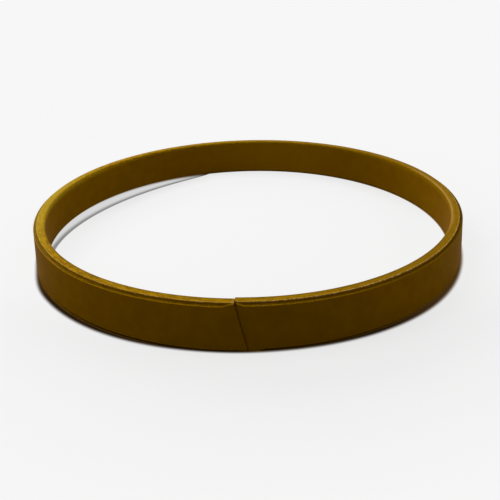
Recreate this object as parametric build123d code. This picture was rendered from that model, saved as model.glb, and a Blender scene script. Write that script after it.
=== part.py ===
from build123d import *
from math import cos, radians, sin, tan
import os

# Split wear ring of plain strip section, lying flat with its axis along Z.
# Sizes are in millimetres and angles in degrees. The lower end face lies on Z = 0
# and the cut faces -Y, so "right" is the +X side of the cut seen from outside.

# Ring
outer_diameter = 100.0
wall_thickness = 2.5
ring_width = 9.5
inner_edge_radius = 0.25

# Rebate round both outer edges
rebate_depth = 0.5
rebate_width = 0.65

# Scarf cut, leaning left towards the top
cut_angle = 13.0
cut_gap = 0.2

# The free ends spring apart radially over the last stretch of the ring
end_step = 0.4
end_span = 30.0

# The rebates run out beside the cut: a full edge at the cut, then a ramp
top_land = 0.3
foot_land = 1.6
runout_length = 1.6

# The left end's foot is relieved instead: raised to the rebate beside the cut, then a ramp
relief_land = 1.1
relief_length = 2.2

# How far cutting shapes reach past the ring, and untrimmed ends past the cut in degrees
cutter_reach = 4.0
untrimmed_turn = 4.0

outer_radius = outer_diameter / 2
cut_azimuth = -90.0
right, left = 1, -1
top, foot = 1, -1
edge_land = {top: top_land, foot: foot_land}


def face_height(face):
    """Height of the top or foot end face."""
    return ring_width / 2 * (1 + face)


def plain_section(radius):
    """Strip section for a stretch of the given outer radius."""
    corner = Pos(radius - wall_thickness, 0)
    return Plane.XZ * corner * Rectangle(wall_thickness, ring_width, align=Align.MIN)


def rebate_section(radius, face):
    """Section of the material that the rebate takes from one outer edge."""
    height = face_height(face) + face * (cutter_reach - rebate_depth) / 2
    centre = Pos(radius + (cutter_reach - rebate_width) / 2, height)
    return Plane.XZ * centre * Rectangle(cutter_reach + rebate_width, cutter_reach + rebate_depth)


def turned(section, start, stop):
    """Section turned about Z from one azimuth to another."""
    return Rot(Z=start) * revolve(section, Axis.Z, stop - start)


def rounded(stretch):
    """Stretch of the ring with its two inner edges rounded."""
    arcs = stretch.edges().filter_by(GeomType.CIRCLE)
    return fillet(arcs.group_by(SortBy.RADIUS)[0], inner_edge_radius)


def cut_position(face):
    """X of the cut at the top or foot end face."""
    return -face * ring_width / 2 * tan(radians(cut_angle))


def runout_plane(side, face):
    """Ramp that lifts the rebate's floor to the end face on one side of the cut."""
    start = (cut_position(face) + side * edge_land[face], 0, face_height(face))
    return Plane(origin=start, z_dir=(side * rebate_depth, 0, face * runout_length))


def foot_relief():
    """What the relief takes from the foot of the left end."""
    start = (cut_position(foot) - relief_land, 0, rebate_depth)
    ramp = Plane(origin=start, z_dir=(-rebate_depth, 0, relief_length))
    reach = relief_land + relief_length + cutter_reach
    block = Pos(start[0], wall_thickness / 2 - outer_radius, rebate_depth)
    block *= Box(2 * reach, 2 * cutter_reach, cutter_reach, align=(Align.CENTER, Align.CENTER, Align.MAX))
    return split(block, bisect_by=ramp, keep=Keep.BOTTOM)


def ring_end(side):
    """Last stretch of the ring on one side of the cut, tangent to the main arc."""
    offset = -side * end_step / 2
    radius = outer_radius + offset / (1 - cos(radians(end_span)))
    tangent_azimuth = cut_azimuth + side * end_span
    shift = outer_radius - radius
    centre = Pos(shift * cos(radians(tangent_azimuth)), shift * sin(radians(tangent_azimuth)))
    start, stop = sorted((tangent_azimuth, cut_azimuth - side * untrimmed_turn))

    end = centre * turned(plain_section(radius), start, stop)
    for face in (top, foot):
        rebate = centre * turned(rebate_section(radius, face), start, stop)
        if (side, face) != (left, foot):
            rebate = split(rebate, bisect_by=runout_plane(side, face), keep=Keep.TOP)
        end -= rebate

    lean = radians(cut_angle)
    cut_face = Plane(origin=(0, 0, ring_width / 2), z_dir=(side * cos(lean), 0, side * sin(lean)))
    end = rounded(split(end, bisect_by=cut_face.offset(cut_gap / 2), keep=Keep.TOP))
    return end - foot_relief() if side == left else end


def main_arc():
    """Round stretch of the ring, away from the free ends."""
    section = plain_section(outer_radius)
    for face in (top, foot):
        section -= rebate_section(outer_radius, face)
    return rounded(turned(section, cut_azimuth + end_span, cut_azimuth + 360 - end_span))


wear_ring = main_arc() + ring_end(right) + ring_end(left)

os.makedirs("parts", exist_ok=True)
export_step(wear_ring, "parts/wear_ring.step")

box = wear_ring.bounding_box()
print("solids", len(wear_ring.solids()), "volume mm3", round(wear_ring.volume, 1))
print("box", [round(value, 3) for value in (*box.min, *box.max)])
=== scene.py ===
import bmesh
import bpy
from math import atan2, cos, pi, radians, sin, tan
from mathutils import Matrix, Vector


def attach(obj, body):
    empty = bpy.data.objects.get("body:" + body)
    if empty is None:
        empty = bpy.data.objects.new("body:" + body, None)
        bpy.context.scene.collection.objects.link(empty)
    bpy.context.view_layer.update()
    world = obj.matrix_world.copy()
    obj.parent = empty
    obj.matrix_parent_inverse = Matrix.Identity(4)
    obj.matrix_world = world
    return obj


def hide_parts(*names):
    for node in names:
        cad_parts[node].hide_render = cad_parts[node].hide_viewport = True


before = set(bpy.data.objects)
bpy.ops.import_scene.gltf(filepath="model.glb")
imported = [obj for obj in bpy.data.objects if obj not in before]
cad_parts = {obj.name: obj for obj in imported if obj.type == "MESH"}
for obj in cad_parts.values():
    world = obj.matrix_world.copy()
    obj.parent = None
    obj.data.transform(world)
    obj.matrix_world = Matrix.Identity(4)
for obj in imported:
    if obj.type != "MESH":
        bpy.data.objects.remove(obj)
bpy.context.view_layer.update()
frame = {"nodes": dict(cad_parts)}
print("frame loaded:", ", ".join(frame["nodes"]))

millimetre = 0.001


class Wire:
    def __init__(self, graph, socket):
        self.graph = graph
        self.socket = socket

    def maths(self, operation, first, second):
        return self.graph.node("Math", {"operation": operation}, {0: first, 1: second})

    def __add__(self, other):
        return self.maths("ADD", self, other)

    def __radd__(self, other):
        return self.maths("ADD", other, self)

    def __sub__(self, other):
        return self.maths("SUBTRACT", self, other)

    def __rsub__(self, other):
        return self.maths("SUBTRACT", other, self)

    def __mul__(self, other):
        return self.maths("MULTIPLY", self, other)

    def __rmul__(self, other):
        return self.maths("MULTIPLY", other, self)

    def __pow__(self, other):
        return self.maths("POWER", self, other)

    def __or__(self, other):
        return self.maths("MAXIMUM", self, other)

    def absolute(self):
        return self.graph.node("Math", {"operation": "ABSOLUTE"}, {0: self})


class Graph:
    def __init__(self, tree):
        self.tree = tree
        tree.nodes.clear()

    def node(self, kind, settings, sockets, output=0):
        made = self.tree.nodes.new("ShaderNode" + kind)
        for name, value in settings.items():
            setattr(made, name, value)
        for name, value in sockets.items():
            if isinstance(value, Wire):
                self.tree.links.new(value.socket, made.inputs[name])
            else:
                made.inputs[name].default_value = value
        return Wire(self, made.outputs[output] if made.outputs else None)

    def parts(self, vector, *axes):  # of a vector: 0, 1 and 2 are x, y and z
        return [self.node("SeparateXYZ", {}, {0: vector}, axis) for axis in axes]

    def ramp(self, value, low, high, toLow=0.0, toHigh=1.0):  # smooth step between two values
        return self.node("MapRange", {"interpolation_type": "SMOOTHSTEP"},
                         {0: value, 1: low, 2: high, 3: toLow, 4: toHigh})

    def rampFrom(self, start, value, ends, toLow=0.0, toHigh=1.0):  # its ends are measured from a start
        return self.ramp(value, start + ends[0], start + ends[1], toLow, toHigh)

    def blend(self, factor, first, second):  # of two colours
        return self.node("Mix", {"data_type": "RGBA"}, {0: factor, 6: first, 7: second}, 2)

    def times(self, first, second):  # one colour by another
        settings = {"data_type": "RGBA", "blend_type": "MULTIPLY"}
        return self.node("Mix", settings, {0: 1.0, 6: first, 7: second}, 2)

    def stretched(self, vector, factors):
        return self.node("VectorMath", {"operation": "MULTIPLY"}, {0: vector, 1: factors})

    def lookedAt(self):  # 1 where the camera, a reflection or a view through looks at it
        isCamera, isGlossy, isTransmission = (self.node("LightPath", {}, {}, i) for i in (0, 3, 6))
        return isCamera | isGlossy | isTransmission

    def speckle(self, vector, scale=1.0, detail=2.0, roughness=0.6):
        return self.node("TexNoise", {}, {
            "Vector": vector, "Scale": scale, "Detail": detail, "Roughness": roughness})


cameraLook = {
    "sensor": 36.0,  # mm
    "lens": 48.05,
    "distance": 163.6,  # mm from the ring's axis
    "elevation": 24.58,
    "azimuth": 2.03,  # so that the cut stands a little left of the middle
    "roll": -1.63,
    "aim": (0.283, 0.0, -4.1),  # mm
    "clip": (0.005, 50.0),  # metres
}


def placeCamera(look):
    data = bpy.data.cameras.new("camera")
    data.sensor_width = look["sensor"]
    data.lens = look["lens"]
    data.clip_start, data.clip_end = look["clip"]
    camera = bpy.data.objects.new("camera", data)
    bpy.context.scene.collection.objects.link(camera)
    tilt = radians(look["elevation"])
    turn = Matrix.Rotation(radians(look["azimuth"]), 3, "Z")
    place = turn @ Vector((0, -cos(tilt), sin(tilt))) * look["distance"]
    ahead = (turn @ Vector(look["aim"]) - place).normalized()
    across = ahead.cross(Vector((0, 0, 1))).normalized()
    above = across.cross(ahead)
    roll = radians(look["roll"])
    right = across * cos(roll) + above * sin(roll)
    up = above * cos(roll) - across * sin(roll)
    facing = Matrix((right, up, -ahead)).transposed().to_4x4()
    camera.matrix_world = Matrix.Translation(place * millimetre) @ facing
    bpy.context.scene.camera = camera


placeCamera(cameraLook)
bpy.context.scene.view_settings.view_transform = "Standard"
print("camera placed")


ringShape = {  # mm and degrees
    "outerRadius": 50.0,
    "wall": 2.5,
    "width": 9.5,
    "lean": 0.65,  # how far the top of the wall leans in, as an open ring does at rest
    "innerRounding": 0.45,
    "outerRounding": 0.07,
    "rebateDepth": 0.5,
    "rebateWidth": 0.65,
    "cutAngle": 13.0,
    "cutGap": 0.05,  # what still shows of the closed cut
    "cutRounding": 0.09,  # round the cut's faces
    "endStep": 0.4,  # how far the two ends miss each other
    "endSpan": 30.0,
    "topLand": 0.3,
    "footLand": 1.6,
    "runout": 1.6,
    "reliefLand": 1.1,  # the left end's foot is raised beside the cut, then ramps down
    "reliefRamp": 2.2,
    "pastCut": 4.0,  # degrees that each end is made too long, then trimmed
    "turnStep": 1.0,  # degrees between sections
    "innerSegments": 6,  # of each rounding
    "outerSegments": 2,
    "endReach": 8.0,  # how far from the middle the ends are worked on
    "faceReach": 3.0,  # how far from the middle the cut's faces lie at most
    "weld": 1e-4,
    "cutTolerance": 1e-5,
    "sharpFrom": 50.0,  # degrees between two faces
}
cutAzimuth = -90.0
rightEnd, leftEnd = 1, -1


def drawSection(bm, shape):
    outer = shape["outerRadius"]
    inner = outer - shape["wall"]
    riser = outer - shape["rebateWidth"]
    deep, high = shape["rebateDepth"], shape["width"]
    corners = [(inner, 0), (riser, 0), (riser, deep), (outer, deep),
               (outer, high - deep), (riser, high - deep), (riser, high), (inner, high)]
    verts = [bm.verts.new((radius, 0, height)) for radius, height in corners]
    bm.faces.new(verts)
    innerCorners = verts[:1] + verts[-1:]
    for some, which in ((innerCorners, "inner"), (verts[1:-1], "outer")):
        bmesh.ops.bevel(bm, geom=some, affect="VERTICES", offset=shape[which + "Rounding"],
                        offset_type="OFFSET", segments=shape[which + "Segments"], profile=0.5, material=-1)
    bmesh.ops.delete(bm, geom=bm.faces[:], context="FACES_ONLY")
    return bm.verts[:] + bm.edges[:]


def sweep(bm, section, centre, angle, step):  # returns the last section
    steps = max(1, round(abs(angle) / step))
    return bmesh.ops.spin(bm, geom=section, cent=centre, axis=(0, 0, 1), dvec=(0, 0, 0),
                          angle=radians(angle), steps=steps, use_merge=False)["geom_last"]


def endArc(shape, side):  # radius and centre of the arc that an end springs along
    span = radians(shape["endSpan"])
    radius = shape["outerRadius"] - side * shape["endStep"] / 2 / (1 - cos(span))
    shift = shape["outerRadius"] - radius
    azimuth = radians(cutAzimuth + side * shape["endSpan"])
    return radius, Vector((shift * cos(azimuth), shift * sin(azimuth), 0))


def layStrip(verts, strip, radius, centre, shape, pastFull=False):
    for v in verts:  # mm in from the outer wall, along the strip and up
        away = v.co - centre
        around = (atan2(away.y, away.x) - radians(cutAzimuth)) % (2 * pi)
        if pastFull and around < pi:
            around += 2 * pi
        v[strip] = (radius - away.xy.length, around * shape["outerRadius"], v.co.z)


def rampSpans(shape, side):  # where each ramp beside the cut starts and where it ends
    footRamp = ("reliefLand", "reliefRamp") if side == leftEnd else ("footLand", "runout")
    spans = []
    for upper, (land, length) in ((True, ("topLand", "runout")), (False, footRamp)):
        cutX = (-1 if upper else 1) * shape["width"] / 2 * tan(radians(shape["cutAngle"]))
        spans.append((upper, cutX + side * shape[land], cutX + side * (shape[land] + shape[length])))
    return spans


def endGeometry(bm, shape, known):  # what an end has near the cut
    verts = [v for v in bm.verts if v not in known and abs(v.co.x) < shape["endReach"]]
    edges = list(dict.fromkeys(e for v in verts for e in v.link_edges))
    return verts + edges + list(dict.fromkeys(f for e in edges for f in e.link_faces))


def runOutRebates(bm, shape, side, known):  # on ramps beside the cut; it raises the left end's foot too
    high, deep = shape["width"], shape["rebateDepth"]
    radius, centre = endArc(shape, side)
    ramps = rampSpans(shape, side)
    for upper, near, far in ramps:
        for x in (near, far):
            bmesh.ops.bisect_plane(bm, geom=endGeometry(bm, shape, known), dist=shape["cutTolerance"],
                                   plane_co=(x, 0, 0), plane_no=(1, 0, 0))
    pastRebate = shape["rebateWidth"] + shape["outerRounding"] + shape["weld"]
    for v in bm.verts:
        if v in known or abs(v.co.x) > shape["endReach"]:
            continue
        fromWall = radius - (v.co - centre).xy.length  # depth in from the outer wall
        for upper, near, far in ramps:
            fromFace = high - v.co.z if upper else v.co.z
            share = min(1, max(0, (v.co.x - near) / (far - near)))
            if side == leftEnd and not upper:
                v.co.z = max(v.co.z, deep * (1 - share))
                continue
            if fromFace > high / 2 or fromWall > pastRebate:
                continue
            if fromWall > shape["rebateWidth"] / 2:
                fromFace *= share
            else:
                fromFace -= deep * (1 - share)
            v.co.z = high - fromFace if upper else fromFace


def closeEnd(bm, shape, side, known):  # trims it along the cut and gives it its slanted face
    lean = radians(shape["cutAngle"])
    normal = Vector((side * cos(lean), 0, side * sin(lean)))
    through = Vector((0, 0, shape["width"] / 2)) + normal * shape["cutGap"] / 2
    cut = bmesh.ops.bisect_plane(bm, geom=endGeometry(bm, shape, known), dist=shape["cutTolerance"],
                                 plane_co=through, plane_no=normal, clear_inner=True)
    cutEdges = [e for e in cut["geom_cut"] if isinstance(e, bmesh.types.BMEdge)]
    cutVerts = list(dict.fromkeys(v for e in cutEdges for v in e.verts))
    bmesh.ops.remove_doubles(bm, verts=cutVerts, dist=shape["weld"])
    rim = [e for e in bm.edges
           if e.is_boundary and abs(e.verts[0].co.x) < shape["faceReach"] and e.verts[0] not in known]
    outline = list(dict.fromkeys(v for e in rim for v in e.verts))
    cap = bmesh.ops.contextual_create(bm, geom=rim)["faces"]
    bmesh.ops.inset_individual(bm, faces=cap, thickness=shape["cutRounding"], use_even_offset=True)
    bmesh.ops.translate(bm, vec=(side * shape["cutRounding"], 0, 0), verts=outline)


def addEnd(bm, shape, section, side, strip):
    known = set(bm.verts)
    radius, centre = endArc(shape, side)
    sweep(bm, section, centre, -side * (shape["endSpan"] + shape["pastCut"]), shape["turnStep"])
    added = [v for v in bm.verts if v not in known]
    layStrip(added, strip, radius, centre, shape, pastFull=side == leftEnd)
    runOutRebates(bm, shape, side, known)
    closeEnd(bm, shape, side, known)


def makeRing(shape):
    bm = bmesh.new()
    strip = bm.verts.layers.float_vector.new("strip")
    section = drawSection(bm, shape)
    firstTurn = Matrix.Rotation(radians(cutAzimuth + shape["endSpan"]), 3, "Z")
    bmesh.ops.rotate(bm, verts=bm.verts, cent=(0, 0, 0), matrix=firstTurn)
    last = sweep(bm, section, (0, 0, 0), 360 - 2 * shape["endSpan"], shape["turnStep"])
    layStrip(bm.verts, strip, shape["outerRadius"], Vector((0, 0, 0)), shape)
    for side, edge in ((rightEnd, section), (leftEnd, last)):
        addEnd(bm, shape, edge, side, strip)
    bmesh.ops.remove_doubles(bm, verts=bm.verts, dist=shape["weld"])
    bmesh.ops.recalc_face_normals(bm, faces=bm.faces)
    for v in bm.verts:
        inward = shape["lean"] * v.co.z / shape["width"]
        v.co.xy = v.co.xy * (1 - inward / v.co.xy.length)
    bmesh.ops.scale(bm, vec=(millimetre,) * 3, verts=bm.verts)
    for face in bm.faces:
        face.smooth = True
    print("open edges:", sum(not e.is_manifold for e in bm.edges), "faces:", len(bm.faces))
    mesh = bpy.data.meshes.new("ring")
    bm.to_mesh(mesh)
    bm.free()
    mesh.set_sharp_from_angle(angle=radians(shape["sharpFrom"]))
    ring = bpy.data.objects.new("ring", mesh)
    bpy.context.scene.collection.objects.link(ring)
    weighted = ring.modifiers.new("evenShading", "WEIGHTED_NORMAL")
    weighted.keep_sharp = True
    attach(ring, "root")
    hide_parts("wear_ring")
    return ring


ring = makeRing(ringShape)
print("ring made")


polymerLook = {  # mm; two more numbers after a pair of places are the shares there, else 0 and 1
    "skin": (0.209, 0.094, 0.0, 1),  # of the walls
    "skinDark": (0.188, 0.083, 0.0, 1),
    "skinLitBehind": (0.329, 0.151, 0.0, 1),  # painted light: the inner wall at the back is made paler where more light falls on it
    "cut": (0.49, 0.262, 0.0, 1),  # of the end faces; at the far left they turn to a painted lighter tone and at the far right to a painted darker one, as light falls from the left
    "cutLitLeft": (0.50, 0.32, 0.015, 1),
    "cutShadedRight": (0.30, 0.155, 0.0, 1),
    "cutDark": (0.24, 0.12, 0.0, 1),
    "ledge": (0.47, 0.45, 0.3, 1),  # times the colour of the end faces: painted shade on the ledge, which the step above it shades
    "wearAndHighlight": (0.74, 0.43, 0.11, 1),  # of the edges: partly wear, partly painted highlight; on the inner edge at the right, painted highlight
    "ledgeWearAndHighlight": (0.58, 0.275, 0.0, 1),
    "innerEdge": (0.10, 0.05, 0.0, 1),  # in front, where it is in shade
    "cornerSpot": (0.50, 0.27, 0.07, 1),  # of a lighter spot on the left end's top corner
    "notch": (0.05, 0.02, 0.0, 1),  # of the right one's
    "specular": 0.004,
    "roughness": 0.55,
    "roughnessSpread": 0.12,
    "wornPolish": 0.1,  # how much smoother the worn top edge is
    "bump": 0.03,
    "bumpStrength": 0.4,
    "bumpOnWalls": 0.2,  # against 1 on the end faces

    "mottleScale": 350.0,
    "mottle": (0.35, 0.65),  # the values of the noise between which it shows, as in streaks and chips
    "grain": (2.8, 0.6, 2.8),  # marks per mm across, along and up the strip
    "fineGrain": (6.0, 2.2, 6.0),
    "grainShare": 0.6,  # against the fine grain
    "streaks": (0.40, 0.58),
    "chipGrain": (2.0, 2.2, 2.0),
    "chips": (0.46, 0.62),

    "flat": (0.4, 0.8),  # how far a surface faces up or down where the end faces' colour begins
    "ledgeDown": (0.2, 0.8),  # of the rebate's depth
    "ledgeSoftness": 0.2,
    "innerWall": (-0.4, -0.2),  # from the wall's inner side
    "upperInnerLight": (0.9, 1.7),  # painted light: how far the end faces' colour runs down the inner wall, behind and aside
    "upperInnerLightAside": (25.0, 45.0),  # to either side of the middle
    "upperInnerLightTop": 0.2,
    "upperInnerLightShare": 0.85,
    "farLeft": (-50.0, -36.0, 1.0, 0.0),
    "farLeftEven": 0.8,  # how far the streaks are lost there, under the painted lighter tone
    "leftToRight": (-50.0, 45.0),
    "innerLitMiddle": 5.0,
    "innerLitAside": (0.0, 34.0, 0.7, 0.0),  # from that middle
    "innerLitBehind": (30.0, 44.0),

    "front": (-1.0, 1.0, 1.0, 0.0),
    "besideStart": (-0.3, 0.1),  # from where the left end's top ramp starts
    "besideStop": (0.0, 0.02),  # from the cut
    "besideDark": 0.95,  # how far that ramp keeps the walls' colour
    "besideSoftness": 0.15,
    "cornerSpotSpan": (-0.6, -0.1),  # from the cut
    "cornerSpotShare": 0.45,
    "notchStart": (0.0, 0.05),  # from the cut
    "notchStop": (0.3, 0.5),
    "notchInward": (0.0, 0.3),  # from the rebate's riser
    "notchDown": (2.4, 1.0),  # rebate depths below the top

    "topEdgeReach": 0.3,
    "topEdgeLeast": 0.2,  # where the edge has no chips
    "topEdgeBehind": (-10.0, 20.0, 1.0, 0.5),
    "topEdgeRight": (-20.0, 25.0, 0.5, 1.0),
    "ledgeReach": 0.24,
    "ledgeLeast": 0.4,
    "ledgeRight": (5.0, 38.0, 1.0, 0.3),
    "footShare": 0.25,
    "innerReach": 1.0,
    "innerTop": (-0.2, -0.1),  # from the top
    "innerFront": (-30.0, -12.0, 0.75, 0.0),
    "innerRight": (40.0, 47.0, 0.0, 0.4),
}


# the left end's top ramp and the lighter spot on its corner, and the right end's notch
def cutMarks(graph, look, shape, x, y, depth, height):
    high, deep, wide = (shape[name] for name in ("width", "rebateDepth", "rebateWidth"))
    cutX = -high / 2 * tan(radians(shape["cutAngle"]))
    rampStart = cutX - shape["topLand"] - shape["runout"]
    atFront = graph.ramp(y, *look["front"])
    besideCut = graph.rampFrom(rampStart, x, look["besideStart"]) * atFront
    besideCut = besideCut * graph.rampFrom(cutX, x, look["besideStop"], 1.0, 0.0)
    cornerSpot = graph.rampFrom(cutX, x, look["cornerSpotSpan"]) * besideCut * graph.ramp(height, high - deep, high)
    notch = graph.rampFrom(cutX, x, look["notchStart"]) * graph.rampFrom(cutX, x, look["notchStop"], 1.0, 0.0)
    notch = notch * atFront * graph.rampFrom(wide, depth, look["notchInward"], 1.0, 0.0)
    low, top = (high - deep * share for share in look["notchDown"])
    return besideCut, cornerSpot, notch * graph.ramp(height, low, top)


# masks near the top, ledge, foot and inner edges, all the way round; the top and ledge ones are chipped. They
# carry edge wear and painted highlights, and the inner one painted shade and a painted highlight
def edgeWearAndLight(graph, look, shape, strip, depth, height):
    wall, high, deep, wide = (shape[name] for name in ("wall", "width", "rebateDepth", "rebateWidth"))
    speckle = graph.speckle(graph.stretched(strip, look["chipGrain"]), detail=3.0, roughness=0.7)
    chips = graph.ramp(speckle, *look["chips"])

    def near(edgeDepth, edgeHeight, reach):
        across = depth - edgeDepth
        up = height - edgeHeight
        distance = (across * across + up * up) ** 0.5
        return graph.ramp(distance, 0.0, reach, 1.0, 0.0)

    def chipped(least):
        return least + chips * (1 - least)

    top = near(wide, high, look["topEdgeReach"]) * chipped(look["topEdgeLeast"])
    ledge = near(0.0, high - deep, look["ledgeReach"]) * chipped(look["ledgeLeast"])
    foot = near(wide, 0.0, look["ledgeReach"]) + near(0.0, deep, look["ledgeReach"])
    inner = near(wall, high, look["innerReach"]) * graph.rampFrom(high, height, look["innerTop"])
    return top, ledge, foot * look["footShare"], inner


def makePolymer(look, shape):
    material = bpy.data.materials.new("filledPolymer")
    material.use_nodes = True
    graph = Graph(material.node_tree)
    place = graph.node("TexCoord", {}, {}, 3)
    x, y = (part * (1 / millimetre) for part in graph.parts(place, 0, 1))
    strip = graph.node("Attribute", {"attribute_name": "strip"}, {}, 1)
    depth, height = graph.parts(strip, 0, 2)
    wall, high, deep, wide = (shape[name] for name in ("wall", "width", "rebateDepth", "rebateWidth"))

    upright = graph.parts(graph.node("NewGeometry", {}, {}, 1), 2)[0]
    flat = graph.ramp(upright.absolute(), *look["flat"])  # 1 on the end faces and ledges, 0 on the walls
    fromFace = high / 2 - (height - high / 2).absolute()
    onLedge = flat * graph.ramp(fromFace, *(deep * share for share in look["ledgeDown"]))
    onLedge = onLedge * graph.ramp(depth, wide, wide + look["ledgeSoftness"], 1.0, 0.0)
    onInner = graph.rampFrom(wall, depth, look["innerWall"])
    # painted light on the top of the inner wall, reaching further down to either side
    fade = graph.ramp(x.absolute(), *look["upperInnerLightAside"], *look["upperInnerLight"])
    upperInnerLight = graph.ramp(height, high - fade, high - look["upperInnerLightTop"]) * onInner
    flat = flat | upperInnerLight * look["upperInnerLightShare"]

    besideCut, cornerSpot, notch = cutMarks(graph, look, shape, x, y, depth, height)
    topEdge, ledgeEdge, footEdges, innerEdge = edgeWearAndLight(graph, look, shape, strip, depth, height)
    topEdge = topEdge * graph.ramp(y, *look["topEdgeBehind"])
    ledgeEdge = ledgeEdge * (1 - besideCut) * graph.ramp(x, *look["ledgeRight"])

    mottle = graph.speckle(place, look["mottleScale"], detail=3.0)
    grain = graph.speckle(graph.stretched(strip, look["grain"]))
    fineGrain = graph.speckle(graph.stretched(strip, look["fineGrain"]))

    skin = graph.blend(graph.ramp(mottle, *look["mottle"]), look["skinDark"], look["skin"])
    # painted light on the inner wall at the back, strongest near its middle
    innerLit = graph.ramp((x - look["innerLitMiddle"]).absolute(), *look["innerLitAside"])
    innerLit = innerLit * graph.ramp(y, *look["innerLitBehind"]) * onInner
    skin = graph.blend(innerLit, skin, look["skinLitBehind"])

    # painted light on the end faces at the far left, and painted shade at the far right
    farLeft = graph.ramp(x, *look["farLeft"])
    cut = graph.blend(graph.ramp(x, *look["leftToRight"]), look["cut"], look["cutShadedRight"])
    cut = graph.blend(farLeft, cut, look["cutLitLeft"])
    streaks = graph.ramp(grain * look["grainShare"] + fineGrain * (1 - look["grainShare"]), *look["streaks"])
    cut = graph.blend(streaks | farLeft * look["farLeftEven"], look["cutDark"], cut)
    cut = graph.blend(innerEdge * graph.ramp(y, *look["innerFront"]), cut, look["innerEdge"])
    # painted shade on the ledge
    cut = graph.blend(onLedge, cut, graph.times(cut, look["ledge"]))

    topRamp = besideCut * graph.ramp(depth, wide - look["besideSoftness"], wide, 1.0, 0.0)
    tone = graph.blend(flat * (1 - topRamp * look["besideDark"]), skin, cut)
    # edge wear, with painted highlights, along the ledge, foot and top edges
    tone = graph.blend(ledgeEdge | footEdges, tone, look["ledgeWearAndHighlight"])
    tone = graph.blend(topEdge * graph.ramp(x, *look["topEdgeRight"]), tone, look["wearAndHighlight"])
    # painted highlight on the inner top edge at the right
    tone = graph.blend(innerEdge * graph.ramp(x, *look["innerRight"]), tone, look["wearAndHighlight"])
    tone = graph.blend(cornerSpot * look["cornerSpotShare"], tone, look["cornerSpot"])
    tone = graph.blend(notch, tone, look["notch"])

    relief = (grain + fineGrain) * 0.5 * (look["bumpOnWalls"] + flat * (1 - look["bumpOnWalls"]))
    bump = graph.node("Bump", {}, {
        "Strength": look["bumpStrength"], "Distance": look["bump"] * millimetre, "Height": relief})
    rough = look["roughness"] + (mottle - 0.5) * look["roughnessSpread"] - topEdge * look["wornPolish"]
    shader = graph.node("BsdfPrincipled", {}, {
        "Base Color": tone, "Roughness": rough, "Normal": bump, "Specular IOR Level": look["specular"]})
    graph.node("OutputMaterial", {}, {"Surface": shader})
    return material


ring.data.materials.append(makePolymer(polymerLook, ringShape))
print("polymer mixed")


floorShape = {  # mm and degrees
    "turnStep": 2.0,
    "reach": 8800.0,
    "rings": (0.0, 22.0, 26.0, 30.0, 34.0, 38.0, 43.0, 48.0, 48.4, 48.8, 49.2, 49.6, 60.0, 110.0),
    "hollowDepth": 2.4,
    "hollowFrom": 106.0,  # azimuths between which the ring spans the hollow
    "hollowTo": 200.0,
    "hollowFullness": 0.7,  # below 1, so that its middle is broader
    "hollowRadii": (22.0, 43.0, 48.0, 49.6),  # it ends under the ring
    "weld": 1e-3,
}


def easeStep(value, low, high):
    share = min(1, max(0, (value - low) / (high - low)))
    return share * share * (3 - 2 * share)


def makeFloor(shape):
    bm = bmesh.new()
    spoke = [bm.verts.new((radius, 0, 0)) for radius in (*shape["rings"], shape["reach"])]
    spoke += [bm.edges.new(pair) for pair in zip(spoke, spoke[1:])]
    bmesh.ops.spin(bm, geom=spoke, cent=(0, 0, 0), axis=(0, 0, 1), dvec=(0, 0, 0), angle=2 * pi,
                   steps=round(360 / shape["turnStep"]), use_merge=False)
    bmesh.ops.remove_doubles(bm, verts=bm.verts, dist=shape["weld"])
    start, inner, outer, stop = shape["hollowRadii"]
    for v in bm.verts:
        azimuth = atan2(v.co.y, v.co.x) * 180 / pi % 360
        radius = v.co.xy.length
        share = (azimuth - shape["hollowFrom"]) / (shape["hollowTo"] - shape["hollowFrom"])
        if 0 < share < 1:
            hollow = easeStep(radius, start, inner) * (1 - easeStep(radius, outer, stop))
            v.co.z = -shape["hollowDepth"] * sin(pi * share) ** shape["hollowFullness"] * hollow
    bmesh.ops.recalc_face_normals(bm, faces=bm.faces)
    bmesh.ops.scale(bm, vec=(millimetre,) * 3, verts=bm.verts)
    for face in bm.faces:
        face.smooth = True
    mesh = bpy.data.meshes.new("floor")
    bm.to_mesh(mesh)
    bm.free()
    floor = bpy.data.objects.new("floor", mesh)
    bpy.context.scene.collection.objects.link(floor)
    print("floor faces:", len(mesh.polygons))
    return floor


floor = makeFloor(floorShape)
print("floor laid")


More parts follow.
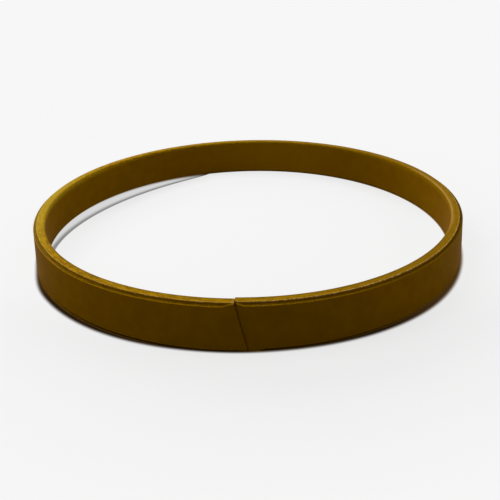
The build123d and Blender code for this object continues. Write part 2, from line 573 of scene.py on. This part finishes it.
floorLook = {  # mm; two more numbers after a pair of places are the shares there, else 0 and 1
    "seen": (0.93, 0.93, 0.93, 1),
    "seenAside": (0.923, 0.923, 0.921, 1),  # towards the front right
    "aside": (-80.0, 120.0),  # to the right and to the front, added up
    "unseen": (0.5, 0.5, 0.5, 1),  # what the floor throws back at the ring
    "paper": (0.82, 0.82, 0.82, 1),
    "paperScale": 60.0,
    "paperShare": (0.3, 0.7, 0.0, 0.012),
    "leftToRight": (-30.0, 30.0),

    "contactShadow": (0.035, 0.018, 0.006, 1),  # of the painted contact shadow, a dark line where the ring stands: in front, left and right
    "contactUnder": (0.2, 0.105, 0.012, 1),  # of its part under the foot's ledge
    "contactLeft": (0.105, 0.058, 0.018, 1),
    "contactRight": (0.28, 0.155, 0.045, 1),
    "contactInside": (47.2, 47.5),  # radii, as the next two
    "contactLedge": (49.9, 50.1),
    "contactFades": (49.7, 49.6),  # where it begins to fade, on the left and on the right
    "contactOutside": 50.7,  # at the cut, and wider by contactGrowth away from it
    "contactGrowth": 0.95,
    "growthAside": (4.0, 38.0),  # to either side of the cut
    "growthWhole": (-29.0, -37.0),  # it is whole in front of this, on the left and on the right
    "growthEnds": (-15.0, -10.0),
    "left": (-48.0, -40.0, 1.0, 0.0),
    "right": (22.0, 45.0),

    "standing": (-1.0, -0.1),  # heights of the floor between the hollow and what the ring stands on
    "hollowLine": (0.16, 0.16, 0.155, 1),  # of the thin shadow line where the ring spans the hollow
    "hollowShare": 0.85,
    "hollowInside": (46.9, 47.3),
    "hollowOutside": (47.8, 48.6),
    "underRing": 0.3,  # how much of that line's shade goes on under the ring
    "behindShare": 0.10,  # how much painted shade the floor takes towards the inner wall at the back
    "behindInside": (40.0, 47.8),
    "behindOutside": (48.0, 50.0, 1.0, 0.0),
    "behind": (0.0, 35.0),

    "shadow": (56.0, 95.0, 1.0, 0.0),  # radii between which the floor stops showing shadows
    "shadowShare": (0.22, 0.11),  # how much of a shadow shows, in front and behind
    "shadowFront": (-45.0, -20.0),
}


# painted contact shadow: its colour, and the band where it lies
def contactShadowColour(graph, look, x, radius):
    colour = graph.blend(graph.ramp(radius, *look["contactLedge"]), look["contactUnder"], look["contactShadow"])
    colour = graph.blend(graph.ramp(x, *look["right"]), colour, look["contactRight"])
    return graph.blend(graph.ramp(x, *look["left"]), colour, look["contactLeft"])


def contactShadowBand(graph, look, x, y, radius):
    whole = graph.ramp(x, *look["leftToRight"], *look["growthWhole"])
    ends = graph.ramp(x, *look["leftToRight"], *look["growthEnds"])
    fades = graph.ramp(x, *look["leftToRight"], *look["contactFades"])
    growth = graph.ramp(x.absolute(), *look["growthAside"], 0.0, look["contactGrowth"])
    growth = growth * graph.ramp(y, whole, ends, 1.0, 0.0)
    band = graph.ramp(radius - growth, fades, look["contactOutside"], 1.0, 0.0)
    return band * graph.ramp(radius, *look["contactInside"])


def makeFloorPaint(look):
    material = bpy.data.materials.new("floorPaint")
    material.use_nodes = True
    graph = Graph(material.node_tree)
    place = graph.node("TexCoord", {}, {}, 3)
    x, y, z = (part * (1 / millimetre) for part in graph.parts(place, 0, 1, 2))
    radius = graph.node("VectorMath", {"operation": "LENGTH"}, {0: place}, 1) * (1 / millimetre)

    seen = graph.blend(graph.ramp(x - y, *look["aside"]), look["seen"], look["seenAside"])
    paper = graph.speckle(place, look["paperScale"], detail=4.0)
    seen = graph.blend(graph.ramp(paper, *look["paperShare"]), seen, look["paper"])

    standing = graph.ramp(z, *look["standing"])
    touching = contactShadowBand(graph, look, x, y, radius) * standing
    # painted contact shadow where the ring stands
    seen = graph.blend(touching, seen, contactShadowColour(graph, look, x, radius))

    # painted shadow line where the ring spans the hollow, and painted shade towards the inner wall at the
    # back
    line = graph.ramp(radius, *look["hollowInside"])
    line = line * graph.ramp(radius, *look["hollowOutside"], 1.0, look["underRing"]) * (1 - standing)
    behind = graph.ramp(radius, *look["behindInside"]) * graph.ramp(radius, *look["behindOutside"])
    behind = behind * graph.ramp(y, *look["behind"])
    shade = line * look["hollowShare"] | behind * look["behindShare"]
    seen = graph.blend(shade, seen, look["hollowLine"])

    lookedAt = graph.lookedAt()
    colour = graph.blend(lookedAt, look["unseen"], seen)
    lit = graph.node("BsdfDiffuse", {}, {"Color": colour})
    glow = graph.node("Emission", {}, {"Color": colour, "Strength": 1.0})
    share = graph.ramp(y, *look["shadowFront"], *look["shadowShare"])
    shadow = graph.ramp(radius, *look["shadow"]) * (share + touching * (1 - share))  # all of it at the ring
    surface = graph.node("MixShader", {}, {0: (1 - shadow) * lookedAt, 1: lit, 2: glow})
    graph.node("OutputMaterial", {}, {"Surface": surface})
    return material


floor.data.materials.append(makeFloorPaint(floorLook))
print("floor painted")


studio = {  # metres and watts
    "overheadLeft": {"place": (-0.20, 0.0, 0.35), "size": (0.25, 0.25), "power": 0.89},
    "rightPanel": {"place": (0.45, 0.05, 0.20), "size": (0.30, 0.30), "power": 0.86},
    "backPanel": {"place": (0.0, 0.45, 0.20), "size": (0.40, 0.30), "power": 0.93},
    "backLeftPanel": {"place": (-0.32, 0.32, 0.20), "size": (0.30, 0.30), "power": 1.26},
    "frontPanel": {"place": (0.0, -0.45, 0.20), "size": (0.40, 0.30), "power": 0.18},
}
surroundings = {
    "fill": (0.0, 0.0, 0.0, 1),
    "seen": (0.93, 0.93, 0.93, 1),
}


def hangLamps(lamps):
    for name, lamp in lamps.items():
        data = bpy.data.lights.new(name, "AREA")
        data.shape = "RECTANGLE"
        data.size, data.size_y = lamp["size"]
        data.energy = lamp["power"]
        lampObject = bpy.data.objects.new(name, data)
        bpy.context.scene.collection.objects.link(lampObject)
        lampObject.location = lamp["place"]
        lampObject.rotation_euler = (-Vector(lamp["place"])).to_track_quat("-Z", "Y").to_euler()
        lampObject.visible_camera = False


def lightSurroundings(look):
    world = bpy.data.worlds.new("surroundings")
    world.use_nodes = True
    bpy.context.scene.world = world
    graph = Graph(world.node_tree)
    lookedAt = graph.lookedAt()
    colour = graph.blend(lookedAt, look["fill"], look["seen"])
    light = graph.node("Background", {}, {"Color": colour, "Strength": 1.0})
    graph.node("OutputWorld", {}, {"Surface": light})


hangLamps(studio)
lightSurroundings(surroundings)
print("lamps hung")
